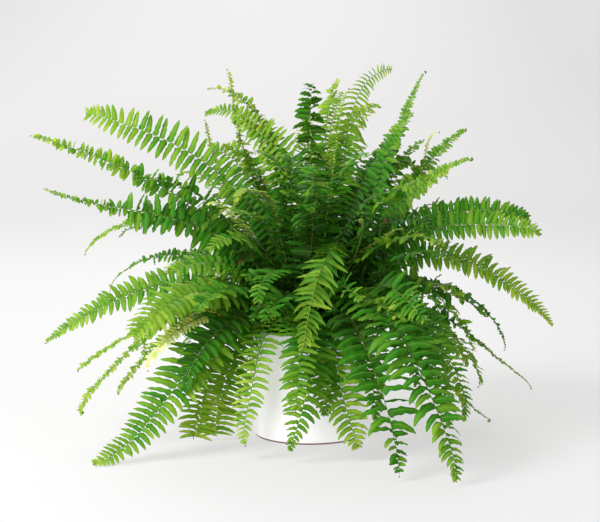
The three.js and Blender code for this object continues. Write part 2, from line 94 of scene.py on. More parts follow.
# Single fronds. Each row: tip x, y, z; launch angle; slope of the tip; launch azimuth or None;
# pull of the curve at the root and at the tip; roll towards -Y; tone, from 0 for deep green over
# 0.9 for yellow to 1 for brown; breadth of the leaflets; pitch as a share of their width; curl of
# the tip in degrees; leaflet lengths, each after its place in percent of the stem's length.
# The tones are partly each frond's own colour and partly painted light and shade: some fronds get
# paler tones where light falls on them, and darker ones where they lie in shade.
FRONDS = [
    # over the middle and forwards
    (-12, -240, 172, 76, -72, 5, .98, .48, 74, .4, .68, 1.35, 5,
     (17, 8, 42, 9, 53, 26, 72, 31, 86, 26, 95, 16, 100, 6)),
    # high on the left
    (-343, 0, 498, 84, 20, None, .52, .33, 60, .38, .92, 1.45, 60,
     (17, 18, 35, 24, 52, 27, 72, 34, 90, 23, 97, 14, 100, 11)),
    (-418, -20, 461, 70, 20, None, .46, .35, 60, .37, 1.25, 1.0, 15,
     (17, 22, 40, 29, 60, 21, 85, 13, 93, 7, 100, 3)),
    (-393, -60, 384, 76, 26, None, .54, .3, 60, .3, 1.2, 1.1, 10,
     (17, 22, 45, 33, 68, 29, 74, 15, 82, 10, 87, 5, 100, 3)),
    (-357, 80, 272, 73, -44, None, .57, .37, 40, .42, 1.1, 1.2, 20,
     (17, 20, 45, 25, 66, 15, 80, 8, 92, 5, 100, 3)),
    (-322, 100, 206, 68, -62, None, .56, .3, 30, .3, 1.15, 1.2, 30,
     (17, 18, 45, 20, 66, 13, 78, 7, 90, 3, 100, 2)),
    (-124, 80, 555, 84, 88, None, .4, .35, 0, .5, 1.15, 1.15, 15,
     (17, 20, 50, 24, 72, 14, 90, 9, 97, 6, 100, 3)),
    (-168, 60, 489, 84, -15, None, .6, .35, 30, .42, .8, 1.4, 40, (17, 20, 50, 27, 76, 21, 90, 12, 100, 5)),
    (-118, 20, 492, 86, 35, 40, .66, .5, 50, .4, .76, 1.45, 30, (17, 24, 45, 34, 80, 30, 93, 19, 100, 9)),
    (-163, 140, 473, 82, 85, None, .4, .35, 0, .52, 1.1, 1.2, 10, (17, 20, 50, 22, 76, 10, 92, 6, 100, 3)),
    (-160, 110, 436, 80, 15, None, .58, .3, 50, .34, 1.05, 1.3, 30, (17, 20, 50, 28, 80, 22, 93, 13, 100, 6)),
    # upright
    (3, 0, 535, 88, 88, -90, .35, .35, 25, .06, 1.32, .9, 10, (17, 22, 50, 27, 85, 23, 95, 20, 100, 12)),
    (125, 40, 561, 82, 12, None, .62, .22, 82, .42, .5, 2.0, 20,
     (17, 20, 50, 33, 76, 34, 86, 17, 95, 12, 100, 6)),
    (50, 100, 523, 84, 55, None, .4, .35, 20, .36, .64, 1.6, 20, (17, 20, 55, 26, 85, 18, 94, 9, 100, 4)),
    (169, 0, 555, 76, 68, None, .4, .35, 30, .27, 1.02, 1.12, 10,
     (17, 22, 50, 31, 66, 30, 75, 20, 80, 11, 88, 10, 94, 6, 100, 3)),
    # right
    (185, 70, 469, 70, 85, None, .4, .35, 0, .7, 1.1, 1.25, 80, (17, 20, 50, 22, 76, 12, 90, 6, 100, 4)),
    (241, 80, 466, 72, 38, None, .42, .35, 30, .35, 1.08, 1.05, 20, (17, 20, 50, 27, 76, 19, 90, 10, 100, 4)),
    (237, -60, 431, 70, 24, None, .45, .35, 40, .38, 1.06, 1.05, 20, (17, 20, 50, 27, 78, 18, 92, 8, 100, 3)),
    (352, 60, 329, 76, -24, None, .58, .35, 60, .22, 1.0, 1.15, 60, (17, 20, 45, 26, 80, 21, 94, 13, 100, 7)),
    (345, -60, 324, 74, -4, None, .58, .35, 50, .3, .98, 1.2, 30, (17, 20, 45, 27, 80, 24, 94, 16, 100, 7)),
    (371, -30, 172, 74, -52, None, .64, .4, 40, .42, .9, 1.3, 10,
     (17, 20, 45, 31, 70, 26, 86, 17, 95, 9, 100, 4)),
    (316, 110, 112, 66, -72, None, .54, .38, 20, .14, 1.35, 1.0, 15,
     (17, 14, 30, 11, 40, 8, 72, 6.5, 86, 5, 100, 2)),
    (352, 60, 62, 55, -34, None, .5, .35, 20, .34, 1.2, 1.05, 25,
     (17, 20, 42, 24, 55, 13, 66, 6, 84, 5, 94, 3, 100, 2)),
    (250, -30, 116, 50, -42, None, .5, .35, 20, .4, 1.15, 1.15, 120,
     (17, 18, 55, 24, 80, 17, 93, 10, 100, 5)),
    (285, 73, 6, 50, -22, None, .5, .35, 20, .36, 1.2, 1.1, 10,
     (17, 18, 45, 20, 62, 10, 80, 7, 92, 4, 100, 2)),
    # hanging in front of the pot
    (199, -325, 7, 60, -78, None, .55, .45, 0, .3, 1.05, 1.24, 20,
     (14, 30, 40, 50, 62, 50, 76, 41, 88, 25, 96, 13, 100, 5)),
    (125, -288, 8, 60, -80, None, .55, .45, 0, .17, 1.11, 1.36, 8,
     (14, 26, 42, 40, 60, 46, 78, 44, 86, 25, 93, 15, 100, 5)),
    (62, -190, 20, 62, -82, None, .6, .5, 0, .4, .95, 1.25, 25,
     (14, 25, 40, 36, 75, 33, 90, 22, 97, 10, 100, 4)),
    (-28, -205, 20, 60, -80, -88, .62, .5, 0, .32, .95, 1.36, 40,
     (14, 26, 40, 40, 64, 40, 76, 30, 87, 17, 94, 9, 100, 4)),
    (-97, -185, 20, 62, -85, None, .6, .5, 0, .46, .72, 1.75, 30, (14, 22, 40, 31, 75, 25, 92, 11, 100, 3)),
    (-143, -50, 8, 60, -84, None, .62, .5, 80, .44, .66, 1.3, 10, (14, 26, 45, 37, 88, 35, 96, 30, 100, 20)),
    # low on the left
    (-310, -223, 7, 60, -6, None, .58, .44, 30, .36, .9, 1.3, 20,
     (14, 28, 35, 50, 58, 43, 72, 31, 83, 24, 92, 18, 97, 11, 100, 5)),
    (-352, -100, 54, 56, -48, None, .52, .38, 20, .46, 1.15, 1.1, 60,
     (17, 20, 42, 20, 58, 10, 74, 7, 88, 9, 96, 10, 100, 6)),
    (-293, -60, 75, 58, -55, None, .5, .38, 20, .44, 1.15, 1.1, 30,
     (17, 20, 42, 20, 60, 10, 80, 9, 94, 8, 100, 3)),
    (-353, -40, 106, 54, -33, None, .5, .38, 20, .48, 1.1, 1.1, 20,
     (17, 20, 45, 18, 62, 9, 80, 6, 95, 7, 100, 4)),
    (-406, 0, 142, 56, -36, None, .48, .38, 40, .38, 1.0, 1.25, 10,
     (17, 20, 40, 31, 62, 30, 76, 21, 90, 12, 100, 4)),
    (-253, -180, 183, 60, -45, None, .5, .38, 20, .45, .9, 1.05, 20,
     (14, 26, 40, 42, 75, 39, 90, 28, 100, 11)),
    (-242, -120, 121, 56, -62, None, .5, .38, 20, .88, .82, 1.2, 30,
     (14, 16, 45, 21, 80, 16, 93, 10, 100, 4)),
    (-205, -70, 262, 66, -25, None, .52, .38, 30, .26, 1.0, 1.15, 20,
     (14, 24, 45, 35, 80, 29, 93, 17, 100, 7)),
]

# Short new fronds, in the same columns
YOUNG_FRONDS = [
    (-115, -150, 382, 80, -20, None, .62, .3, 0, .59, .74, 1.25, 60, (60, 8, 70, 16, 85, 14, 95, 8, 100, 4)),
    (134, -110, 334, 76, 30, None, .5, .35, 0, .76, .42, 2.4, 40, (52, 8, 70, 14, 88, 11, 96, 6, 100, 3)),
]

# By row, fronds whose leaflets are held in another way: degrees that they bend down and lean
# towards the tip, and the share of the further lean that the last ones have
HABITS = {0: (98, -4, 1), 12: (98, -6, 1), 25: (70, 1, 1), 26: (54, -2, 1), 27: (50, 3, 1),
          28: (58, 3, 1), 29: (34, 0, 1), 30: (16, -6, 0), 31: (30, 2, 1)}
FURTHER_HABITS = {11: (16, -6, 0)}

# Slight bends of some stems, by row: how far the middle is to the right and up, and how far the
# tip reaches to the right and to the back
BENDS = {0: (8, 14, 0, 0), 18: (0, -16, 0, 0), 25: (-9, 0, 4, -12), 26: (-9, 0, 0, -22),
         27: (-13, 0, 7, -6), 28: (18, 0, -5, -4)}

# Larger coiled buds at the tips of some stems, by row: their radius
BUDS = {1: 2.6, 8: 1.8, 12: 1.6, 14: 1.8, 16: 2.4, 17: 2.6, 18: 2.8, 19: 2.0, 24: 2.2, 32: 2.2}

# Leaflets less even than the breadth of their frond gives them, by row
UNRESTS = {0: 1.2}

# Further fronds in front and in the thick of the plant, in the same columns
FURTHER_FRONDS = [
    (-143, -140, 386, 80, 50, None, .5, .35, 0, .66, .8, 1.25, 100, (62, 6, 72, 15, 88, 13, 96, 7, 100, 3)),
    (96, -215, 66, 62, -80, None, .58, .48, 0, .24, 1.05, 1.3, 30, even(22, 34, 29, 17, 4)),
    (24, -176, 66, 62, -80, None, .6, .48, 0, .28, .95, 1.3, 20, even(22, 34, 31, 19, 5)),
    (-20, -222, 78, 62, -80, None, .6, .48, 0, .34, .95, 1.4, 40, even(22, 31, 28, 17, 4)),
    (196, -270, 66, 60, -76, None, .56, .46, 0, .26, 1.0, 1.3, 30,
     (12, 22, 40, 38, 65, 34, 85, 20, 95, 11, 100, 4)),
    (226, -240, 72, 62, -74, None, .56, .46, 0, .3, 1.0, 1.25, 30,
     (12, 22, 40, 38, 65, 33, 85, 20, 95, 11, 100, 5)),
    (203, -150, 122, 60, -70, None, .56, .46, 10, .24, 1.05, 1.2, 30, even(22, 36, 30, 18, 6)),
    (156, -196, 112, 64, -76, None, .58, .46, 0, .2, 1.1, 1.2, 20, even(22, 35, 30, 18, 6)),
    (214, -125, 148, 60, -60, None, .54, .42, 20, .24, 1.1, 1.1, 30, even(20, 31, 27, 17, 5)),
    (150, -120, 215, 70, -40, None, .55, .4, 20, .26, 1.1, 1.2, 30, even(20, 33, 30, 18, 6)),
    (-235, -120, 181, 62, -50, None, .52, .4, 20, .5, .95, 1.05, 20,
     (12, 22, 40, 38, 75, 33, 90, 22, 100, 8)),
    (-172, -105, 14, 60, -82, None, .6, .5, 80, .44, .66, 1.3, 10, (12, 22, 45, 35, 88, 33, 96, 28, 100, 18)),
    (-186, -160, 96, 60, -66, None, .55, .45, 10, .12, 1.0, 1.15, 30, even(22, 40, 34, 20, 7)),
    (55, 20, 528, 86, 78, None, .45, .35, 0, .58, .8, 1.4, 10, (12, 12, 50, 15, 75, 11, 92, 6, 100, 3)),
    (-77, -196, 232, 74, -58, None, .6, .44, 0, .26, 1.0, 1.25, 40, even(18, 29, 26, 16, 6)),
    (-150, -110, 300, 74, -30, None, .55, .4, 20, .34, 1.0, 1.25, 30, even(18, 30, 27, 16, 6)),
    (-150, 60, 362, 78, 5, None, .52, .36, 20, .24, 1.0, 1.15, 30, even(18, 28, 25, 15, 6)),
    (-138, 30, 318, 76, -5, None, .52, .36, 20, .18, 1.0, 1.15, 30, even(18, 28, 25, 15, 6)),
    (140, 40, 472, 82, 50, None, .45, .35, 20, .2, .9, 1.1, 20, (12, 18, 50, 27, 75, 22, 90, 13, 100, 5)),
    (180, -80, 330, 74, -20, None, .55, .38, 20, .22, 1.1, 1.2, 30, even(18, 30, 27, 16, 6)),
    (153, 60, 492, 80, 62, None, .45, .35, 20, .32, 1.1, 1.1, 20, (12, 18, 50, 26, 75, 22, 90, 12, 100, 5)),
    (172, 40, 452, 76, 45, None, .45, .35, 20, .26, 1.1, 1.1, 20, (12, 18, 50, 26, 75, 22, 90, 12, 100, 5)),
]

# Coiled new tips on bare stalks: tip x, y, z and size of the coil
CROZIERS = [(78, -90, 338, 3.6), (-42, 34, 306, 3.6), (24, 62, 372, 3.4), (-88, 58, 262, 3.8),
            (58, -26, 246, 3.6), (-30, -60, 226, 3.4), (96, 40, 300, 3.6)]
COIL_TURNS = 1.7
STALK_POINTS, COIL_POINTS = 31, 33

# Crowns of two or three fronds. Each row: azimuth and distance of the crown from the middle;
# count of fronds; reach and height of their tips; leaflet length; tone.
CROWNS = [
    # back and sides, from the lowest fronds to the highest
    (92, 64, 3, 255, 26, 33, .36),
    (62, 63, 3, 345, 95, 28, .30),
    (122, 63, 3, 355, 110, 30, .36),
    (34, 62, 2, 300, 60, 32, .28),
    (150, 62, 2, 290, 70, 32, .32),
    (76, 44, 3, 365, 225, 29, .38),
    (108, 44, 3, 350, 250, 28, .34),
    (44, 42, 3, 310, 340, 28, .34),
    (138, 42, 3, 300, 330, 30, .40),
    (92, 26, 3, 240, 430, 28, .44),
    (60, 24, 2, 170, 500, 26, .48),
    (150, 22, 2, 150, 470, 26, .44),
    # front
    (-62, 26, 3, 175, 405, 26, .26),
    (-118, 27, 3, 170, 390, 28, .28),
    (-28, 60, 3, 275, 215, 30, .24),
    (-92, 62, 2, 215, 215, 30, .30),
    (-148, 60, 2, 235, 165, 30, .26),
]

# Layout of the stems, step by step as in the part's source

def seeded_random(seed):
    state = seed
    while True:
        state = state * 16807 % 2147483647
        yield state / 2147483647


def around(distance, azimuth, z):
    """The point at a distance from the middle axis, towards an azimuth in radians."""
    return np.array([distance * math.cos(azimuth), distance * math.sin(azimuth), z])


def direction(azimuth, elevation):
    return around(math.cos(elevation), azimuth, math.sin(elevation))


class Curve:
    """A cubic curve that is read by its share of the length."""

    def __init__(self, root, first, second, tip):
        self.poles = np.array([root, first, second, tip], float)
        self.steps = np.linspace(0, 1, CURVE_STEPS + 1)
        points = self.at(self.steps)
        self.lengths = np.concatenate([[0], np.cumsum(np.linalg.norm(np.diff(points, axis=0), axis=1))])
        self.length = self.lengths[-1]

    def at(self, t):
        t = np.asarray(t, float)[:, None]
        a, b, c, d = self.poles
        return (1 - t) ** 3 * a + 3 * (1 - t) ** 2 * t * b + 3 * (1 - t) * t * t * c + t ** 3 * d

    def tangents(self, shares):
        t = self.times(shares)[:, None]
        a, b, c, d = self.poles
        slope = 3 * (1 - t) ** 2 * (b - a) + 6 * (1 - t) * t * (c - b) + 3 * t * t * (d - c)
        return slope / np.linalg.norm(slope, axis=1)[:, None]

    def times(self, shares):
        return np.interp(np.asarray(shares, float) * self.length, self.lengths, self.steps)

    def spaced(self, shares):
        return self.at(self.times(shares))

    def pieces(self):
        points = self.spaced(np.linspace(0, 1, STEM_PIECES + 1))
        return np.stack([points[:-1], points[1:]], axis=1)


def growth_curve(row, turn=0, outward=0, root=None):
    """The curve of a stem, from its place in the soil unless a root is given to the tip."""
    x, y, z, launch, slope, azimuth, pull_root, pull_tip = row[:8]
    heading = (math.atan2(y, x) if azimuth is None else math.radians(azimuth)) + turn
    tip = np.array([x, y, z], float)
    distance = 8 + (88 - launch) / 38 * 45 + outward
    if root is None:
        root = around(distance, heading, SOIL_TOP)
    chord = np.linalg.norm(tip - root)
    bearing = math.atan2(y - root[1], x - root[0])
    first = root + direction(heading, math.radians(launch)) * pull_root * chord
    second = tip - direction(bearing, math.radians(slope)) * pull_tip * chord
    return Curve(root, first, second, tip)


def crown_rows(row, draw):
    azimuth, _, count, reach, height, leaflet, tone = row
    rows = []
    for i in range(count):
        fan = (i - (count - 1) / 2) * 26 + (next(draw) - 0.5) * 10
        heading = math.radians(azimuth + fan)
        length = reach * (0.94 + 0.12 * next(draw))
        z = max(LOWEST_TIP, height + (0, 45, -30)[i] * (0.7 + 0.6 * next(draw)) + (next(draw) - 0.5) * 20)
        high = min(z / FULL_HEIGHT, 1)
        rows.append((
            *around(length, heading, z), 58 + 27 * high, -76 + 98 * high, azimuth + fan * 0.8,
            0.60 - 0.12 * high, 0.42 - 0.08 * high, leaflet * (0.9 + 0.2 * next(draw)),
            (next(draw) - 0.5) * 50, tone))
    return rows


def closer_than(ones, others, limit):
    """True if a straight piece of one list comes nearer than limit to a piece of the other."""
    middles = ones.mean(1)[:, None] - others.mean(1)
    reach = (np.linalg.norm(ones[:, 1] - ones[:, 0], axis=1)[:, None]
             + np.linalg.norm(others[:, 1] - others[:, 0], axis=1)) / 2 + limit
    near = np.argwhere((middles ** 2).sum(2) < reach ** 2)
    p, q = ones[near[:, 0]], others[near[:, 1]]
    d1, d2, r = p[:, 1] - p[:, 0], q[:, 1] - q[:, 0], p[:, 0] - q[:, 0]
    a, e, f = (d1 * d1).sum(1), (d2 * d2).sum(1), (d2 * r).sum(1)
    c, b = (d1 * r).sum(1), (d1 * d2).sum(1)
    denominator = a * e - b * b
    s = np.where(denominator > 1e-12, np.clip((b * f - c * e) / np.maximum(denominator, 1e-12), 0, 1), 0)
    t = (b * s + f) / e
    s = np.where(t < 0, np.clip(-c / a, 0, 1), np.where(t > 1, np.clip((b - c) / a, 0, 1), s))
    t = np.clip(t, 0, 1)
    gap = p[:, 0] + d1 * s[:, None] - q[:, 0] - d2 * t[:, None]
    return bool(((gap ** 2).sum(1) < limit ** 2).any())


class Bed:
    """The stems that are in place, and how thick each is below the surface."""

    def __init__(self):
        self.roots = []
        self.pieces = np.zeros((0, 2, 3))

    def add(self, buried, pieces, thicker):
        self.roots.append((buried, thicker))
        self.pieces = np.concatenate([self.pieces, pieces])

    def root_blocked(self, buried, space):
        return any(closer_than(buried, other, space + thicker) for other, thicker in self.roots)


def placements():
    ways = []
    for turn in (0, 4, -4, 8, -8, 12, -12, 16, -16):
        for outward in (0, 7, 14, 21):
            for nudge in (0, 12, -12, 24, -24):
                cost = abs(turn) / 4 + outward / 9 + abs(nudge) / 11
                ways.append((cost, math.radians(turn), outward, nudge))
    return sorted(ways, key=lambda way: way[0])


def swings(step_degrees, count):
    return [math.radians(step_degrees) * math.ceil(i / 2) * (1 if i % 2 else -1) for i in range(count)]


def place_stem(row, bed):
    for _, turn, outward, nudge in placements():
        moved = (row[0], row[1] + nudge) + row[2:]
        curve = growth_curve(moved, turn, outward)
        surface = curve.poles[0]
        way = curve.tangents([0])[0]
        buried = np.array([[surface - way * ROOT_DEPTH, surface]])
        pieces = curve.pieces()
        if bed.root_blocked(buried, ROOT_SPACE) or closer_than(pieces, bed.pieces, STEM_SPACE):
            continue
        bed.add(buried, pieces, 0)
        return {"row": moved, "curve": curve}
    raise ValueError(f"no room for the frond to {row[:3]}")


def clear_stem(row, root, bed, sisters):
    for turn in swings(2.5, 15):
        for lift in (0, 18, -18, 36, -36):
            if row[2] + lift < LOWEST_TIP:
                continue
            x = row[0] * math.cos(turn) - row[1] * math.sin(turn)
            y = row[0] * math.sin(turn) + row[1] * math.cos(turn)
            turned = (x, y, row[2] + lift) + row[3:]
            curve = growth_curve(turned, turn, 0, root)
            pieces = curve.pieces()
            if bed.root_blocked(pieces[:1], STEM_SPACE) or closer_than(pieces, bed.pieces, STEM_SPACE):
                continue
            if any(closer_than(pieces[1:], other["free"], SISTER_SPACE - 0.1) for other in sisters):
                continue
            return {"row": turned, "curve": curve, "free": pieces[1:], "pieces": pieces}
    return None


def place_crown(row, draw, bed):
    rows = crown_rows(row, draw)
    for azimuth in [math.radians(row[0]) + swing for swing in swings(6, 20)]:
        for shift in (0, -7, 7, -14, 14, 21):
            distance = min(row[1] + shift, CROWN_REACH)
            foot, low, high = (
                around(distance, azimuth, SOIL_TOP + z) for z in (1, -ROOT_DEPTH, CROWN_HEIGHT))
            buried = np.array([[low, high]])
            if bed.root_blocked(buried, ROOT_SPACE + CROWN_RADIUS - 2):
                continue
            if closer_than(buried, bed.pieces, CROWN_RADIUS + 2.5):
                continue
            across = np.array([-math.sin(azimuth), math.cos(azimuth), 0])
            stems = []
            for i, stem_row in enumerate(rows):
                root = foot + across * (i - (len(rows) - 1) / 2) * SISTER_SPACE
                stem = clear_stem(stem_row, root, bed, stems)
                if stem is None:
                    break
                stems.append(stem)
            if len(stems) == len(rows):
                bed.add(buried, np.concatenate([stem["pieces"] for stem in stems]), CROWN_RADIUS - 1)
                return {"foot": foot, "stems": stems}
    raise ValueError(f"no room for the crown at {row}")


draw = seeded_random(4217)
bed = Bed()
singles = [place_stem(row, bed) for row in FRONDS + YOUNG_FRONDS]
crowns = [place_crown(row, draw, bed) for row in CROWNS]


def crown_profile(leaflet):
    return (9, leaflet * 0.5, 34, leaflet, 70, leaflet * 0.92, 85, leaflet * 0.62,
            95, leaflet * 0.34, 100, leaflet * 0.14)


def extra_stem(azimuth, swing, reach, height, distance, leaflet, tone):
    """A further frond for the thick of the plant, whose stem isn't kept off the others."""
    azimuth += swing
    heading = math.radians(azimuth)
    high = min(height / FULL_HEIGHT, 1)
    tip = around(reach, heading + math.radians(rng.uniform(-14, 14)), height)
    row = (*tip, 58 + 27 * high, -70 + 90 * high, azimuth, 0.58 - 0.12 * high, 0.40 - 0.08 * high)
    return {"curve": growth_curve(row, root=around(distance, heading, SOIL_TOP + 1)),
            "roll": rng.uniform(-25, 25), "tone": tone, "breadth": rng.uniform(0.95, 1.25),
            "pitch": rng.uniform(1.05, 1.3), "curl": rng.uniform(5, 45), "unrest": EXTRA_UNREST,
            "profile": crown_profile(leaflet)}


def extra_stems(azimuths, *ranges):
    """Fronds all round. What extra_stem asks for is drawn from the ranges, in its order."""
    return [extra_stem(azimuth, *[rng.uniform(*span) for span in ranges]) for azimuth in azimuths]


further_stems = [{"row": row, "curve": growth_curve(row)} for row in FURTHER_FRONDS]
for stem in singles + further_stems:
    stem.update(zip(("roll", "tone", "breadth", "pitch", "curl", "profile"), stem["row"][8:]))
for stems, habits in ((singles, HABITS), (further_stems, FURTHER_HABITS)):
    for index, habit in habits.items():
        stems[index].update(zip(("sag", "lean", "end_lean"), habit))
for key, values in (("bend", BENDS), ("bud", BUDS), ("unrest", UNRESTS)):
    for index, value in values.items():
        singles[index][key] = value
for crown in crowns:
    for stem in crown["stems"]:
        leaflet, stem["roll"], stem["tone"] = stem["row"][8:]
        stem["tone"] += rng.uniform(-0.08, 0.08)
        stem["breadth"], stem["pitch"] = rng.uniform(0.95, 1.2), rng.uniform(1.1, 1.35)
        stem["curl"] = rng.uniform(5, 45)
        stem["unrest"] = CROWN_UNREST
        stem["profile"] = crown_profile(leaflet)
# The short and inner fronds get dark tones: painted shade for the thick of the plant.
short_stems = extra_stems(
    range(0, 360, 12), (-8, 8), (95, 190), (150, 260), (15, 62), (18, 26), (0.05, 0.32))
inner_stems = extra_stems(
    range(5, 365, 15), (-9, 9), (150, 290), (190, 450), (15, 55), (24, 30), (0.12, 0.42))

# Meshes

class Patchwork:
    """Collects points, four-sided faces and their colour values for one piece."""

    def __init__(self):
        self.points, self.quads, self.tones, self.kinds = [], [], [], []
        self.count = 0

    def add(self, points, quads, tones, kind):
        self.points.append(points)
        self.quads.append(quads + self.count)
        self.tones.append(tones)
        self.kinds.append(np.full(len(quads), kind))
        self.count += len(points)

    def make(self, name, materials):
        mesh = bpy.data.meshes.new(name)
        points = np.concatenate(self.points) * MM
        quads = np.concatenate(self.quads)
        mesh.vertices.add(len(points))
        mesh.vertices.foreach_set("co", points.astype(np.float32).ravel())
        mesh.loops.add(quads.size)
        mesh.loops.foreach_set("vertex_index", quads.astype(np.int32).ravel())
        mesh.polygons.add(len(quads))
        mesh.polygons.foreach_set("loop_start", np.arange(0, quads.size, 4, dtype=np.int32))
        for material in materials:
            mesh.materials.append(material)
        mesh.polygons.foreach_set("material_index", np.concatenate(self.kinds).astype(np.int32))
        mesh.update(calc_edges=True)
        mesh.shade_smooth()
        tone = mesh.attributes.new("tone", "FLOAT_COLOR", "POINT")
        tone.data.foreach_set("color", np.concatenate(self.tones).astype(np.float32).ravel())
        piece = bpy.data.objects.new(name, mesh)
        bpy.context.scene.collection.objects.link(piece)
        return piece


def smoothstep(x, low, high):
    x = np.clip((np.asarray(x, float) - low) / (high - low), 0, 1)
    return x * x * (3 - 2 * x)


def unit(vectors):
    return vectors / np.linalg.norm(vectors, axis=-1, keepdims=True)


def dot(one, other):
    return (one * other).sum(-1, keepdims=True)


def rotate(vectors, axes, angles):
    """Turns each vector about its own unit axis."""
    angles = np.asarray(angles, float)[..., None]
    return (vectors * np.cos(angles) + np.cross(axes, vectors) * np.sin(angles)
            + axes * dot(axes, vectors) * (1 - np.cos(angles)))


def above_floor(height, least, start):
    """Heights below start, eased so that they stay above least: the floor carries what lies on it."""
    room = start - least
    eased = least + room * np.exp((np.minimum(height, start) - start) / room)
    return np.where(height < start, eased, height)


class Spine:
    """The middle line of a stem with its side and upper directions, read by share of the length.
    It follows the solid's curve, with a slight wander and a curl at the tip."""

    def __init__(self, stem):
        curve = stem["curve"]
        self.length = curve.length
        self.shares = np.linspace(0, 1, SPINE_STEPS + 1)
        points = curve.spaced(self.shares)
        aside, up, right, back = stem.get("bend", (0, 0, 0, 0))
        middle, tip = np.sin(math.pi * self.shares ** 1.5), self.shares ** 4
        points = points + np.outer(middle, (aside, 0, up)) + np.outer(tip, (right, back, 0))
        start = curve.poles[1] - curve.poles[0]
        heading = math.atan2(start[1], start[0])
        forward, side = self.carry(points, np.array([-math.sin(heading), math.cos(heading), 0]))
        roll = math.radians(stem["roll"]) * (1 if math.cos(heading) >= 0 else -1)
        side = rotate(side, forward, roll * smoothstep(self.shares, 0, 0.35))
        up = np.cross(forward, side)
        sway, bob = rng.rand(2) * 2 * math.pi
        waves = smoothstep(self.shares, 0.1, 0.4)[:, None]
        points = points + waves * (side * np.sin(9 * self.shares + sway)[:, None] * 1.6
                                   + up * np.sin(13 * self.shares + bob)[:, None] * 1.1)
        points = self.curl(points, up, side, math.radians(stem["curl"]))
        points[:, 2] = above_floor(points[:, 2], *STEM_REST)
        self.points = points
        self.forward = unit(np.gradient(points, axis=0))
        self.side = unit(side - self.forward * dot(side, self.forward))
        self.up = np.cross(self.forward, self.side)

    def carry(self, points, last):
        """Side directions, carried along the points without twist."""
        forward = unit(np.gradient(points, axis=0))
        side = np.empty_like(forward)
        for i, way in enumerate(forward):
            last = last - way * (last @ way)
            last /= np.linalg.norm(last)
            side[i] = last
        return forward, side

    def curl(self, points, up, side, angle):
        """Bends the last tenth of the line towards its underside and a little to one side."""
        bend = angle * np.maximum(0, (self.shares - 0.9) / 0.1) ** 1.5
        steps = np.diff(points, axis=0)
        axis = unit(side[1:] + up[1:] * rng.uniform(-0.5, 0.5))
        steps = rotate(steps, axis, bend[1:])
        return np.concatenate([points[:1], points[0] + np.cumsum(steps, axis=0)])

    def at(self, shares):
        points, *ways = (
            np.stack([np.interp(shares, self.shares, column) for column in values.T], axis=1)
            for values in (self.points, self.forward, self.side, self.up))
        return (points, *(unit(way) for way in ways))


def ring_quads(rows, sides):
    """Faces between each ring of points and the next."""
    a = (np.arange(rows - 1)[:, None] * sides + np.arange(sides)).ravel()
    b = (np.arange(rows - 1)[:, None] * sides + (np.arange(sides) + 1) % sides).ravel()
    return np.stack([a, b, b + sides, a + sides], axis=1)


def tube(patch, points, side, up, radii, tone, along, sides=6, shade=None):
    """A round stem through points. It is open at its ends: one is sunk in something, and the other
    is as good as closed."""
    angles = np.linspace(0, 2 * math.pi, sides, endpoint=False)
    ring = side[:, None] * np.cos(angles)[:, None] + up[:, None] * np.sin(angles)[:, None]
    grid = points[:, None] + ring * radii[:, None, None]
    tones = np.zeros((len(points), sides, 4))
    tones[..., 0], tones[..., 2], tones[..., 3] = tone, along[:, None], rng.rand() if shade is None else shade
    patch.add(grid.reshape(-1, 3), ring_quads(len(points), sides), tones.reshape(-1, 4), 1)


# Stations across a leaflet, and along it for those of at least a length
ACROSS = np.array([-1.0, -0.5, 0.0, 0.5, 1.0])
STATIONS = (
    (19, np.array([0, .035, .09, .16, .26, .37, .49, .61, .72, .82, .90, .96, 1])),
    (8, np.array([0, .05, .13, .27, .44, .60, .76, .90, 1])),
    (0, np.array([0, .08, .30, .58, .84, 1])),
)
OUTLINE = (np.array([0, .04, .12, .30, .50, .70, .84, .93, .98, 1]),
           np.array([.22, .88, 1.0, .99, .93, .77, .55, .34, .15, .02]))


def leaflet_width(size, stem):
    return np.minimum((0.18 * size + 3.3) * stem["breadth"], size * 0.85)


def leaflet_shape(u):
    """Half-width of a leaflet at each station and across it: an ear at the base of its forward
    half, a finely scalloped edge and a point."""
    body = np.interp(u, *OUTLINE)
    ear = 1 + 0.42 * np.exp(-((u - 0.08) / 0.07) ** 2)
    scallop = 1 + 0.06 * np.where(np.arange(len(u)) % 2 == 1, 1, -1) * (u > 0.1) * (u < 0.97)
    half = np.repeat(body[:, None], len(ACROSS), axis=1)
    half[:, :2] *= scallop[:, None]
    half[:, 3:] *= (scallop * ear)[:, None]
    return half


def keep_clear(grid, base):
    """Lays what would sink into the floor on it, and keeps the leaflets off the wall of the pot
    and the soil: those that start outside stay outside, those that start inside stay inside."""
    grid[..., 2] = above_floor(grid[..., 2], *LEAFLET_REST)
    radius = np.linalg.norm(grid[..., :2], axis=-1)
    beside = grid[..., 2] < POT_HEIGHT + 1.5
    outside = (np.linalg.norm(base[:, :2], axis=-1) > POT_RADIUS - WALL / 2)[:, None, None]
    wanted = np.where(outside, np.maximum(radius, POT_RADIUS + 1.2),
                      np.minimum(radius, POT_RADIUS - WALL - 1))
    grid[..., :2] *= np.where(beside, wanted / np.maximum(radius, 1), 1)[..., None]
    sunk = beside & ~outside & (grid[..., 2] < SOIL_TOP + 3)
    grid[..., 2] = np.where(sunk, SOIL_TOP + 3, grid[..., 2])
    return grid


